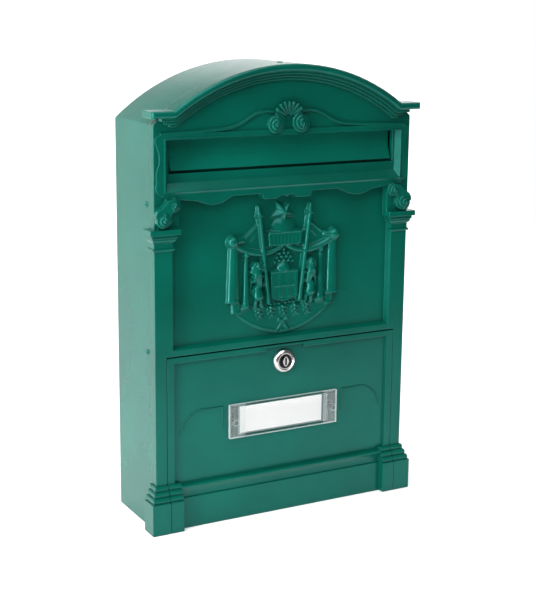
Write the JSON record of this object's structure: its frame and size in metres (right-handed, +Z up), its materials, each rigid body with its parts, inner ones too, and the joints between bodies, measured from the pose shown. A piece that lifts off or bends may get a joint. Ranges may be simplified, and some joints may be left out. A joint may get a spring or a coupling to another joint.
{
  "type": "letter box",
  "caption": "Wall letter box with an arched top, an ornamental cast front, a flap over the letter slot, a lockable drop-down door and a name holder.",
  "frame": {"origin": "middle of the four wall holes, on the back face that lies on the wall", "axes": "+X to the right as seen by someone facing the front, +Y into the wall, +Z up; the front faces -Y"},
  "size_m": [0.2634, 0.091, 0.4008],
  "materials": {
    "cast_paint": "gloss green paint over a casting",
    "sheet_paint": "gloss green paint over sheet",
    "flap_paint": "gloss green paint over sheet",
    "zinc": "bright zinc plate",
    "lock_chrome": "polished chrome",
    "clear_plastic": "clear, polished",
    "card": "plain white card"
  },
  "bodies": {
    "box": {"front_casting": "cast_paint", "housing_wrap": "sheet_paint", "back_panel": "sheet_paint", "housing_screws": "sheet_paint", "flap_rod": "zinc", "flap_rod_caps": "zinc", "door_hinge_pins": "zinc"},
    "flap": {"letter_flap": "flap_paint"},
    "door": {"door": "cast_paint", "lock_barrel": "lock_chrome", "lock_washer": "zinc", "lock_nut": "zinc", "name_holder": "clear_plastic", "name_card": "card", "holder_push_nuts": "zinc"},
    "lock": {"lock_plug": "lock_chrome", "lock_cam": "zinc", "cam_washer": "zinc", "cam_screw": "zinc"}
  },
  "joints": [
    {"name": "door_hinge", "type": "hinge", "parent": "box", "child": "door", "pos_m": [0, -0.083, -0.172], "axis": [1, 0, 0], "range_deg": [0, 95]},
    {"name": "flap_hinge", "type": "hinge", "parent": "box", "child": "flap", "pos_m": [0, -0.0738, 0.1625], "axis": [1, 0, 0], "range_deg": [0, 70]},
    {"name": "lock_turn", "type": "hinge", "parent": "door", "child": "lock", "pos_m": [0, -0.07, -0.0415], "axis": [0, -1, 0], "range_deg": [0, 90]}
  ]
}
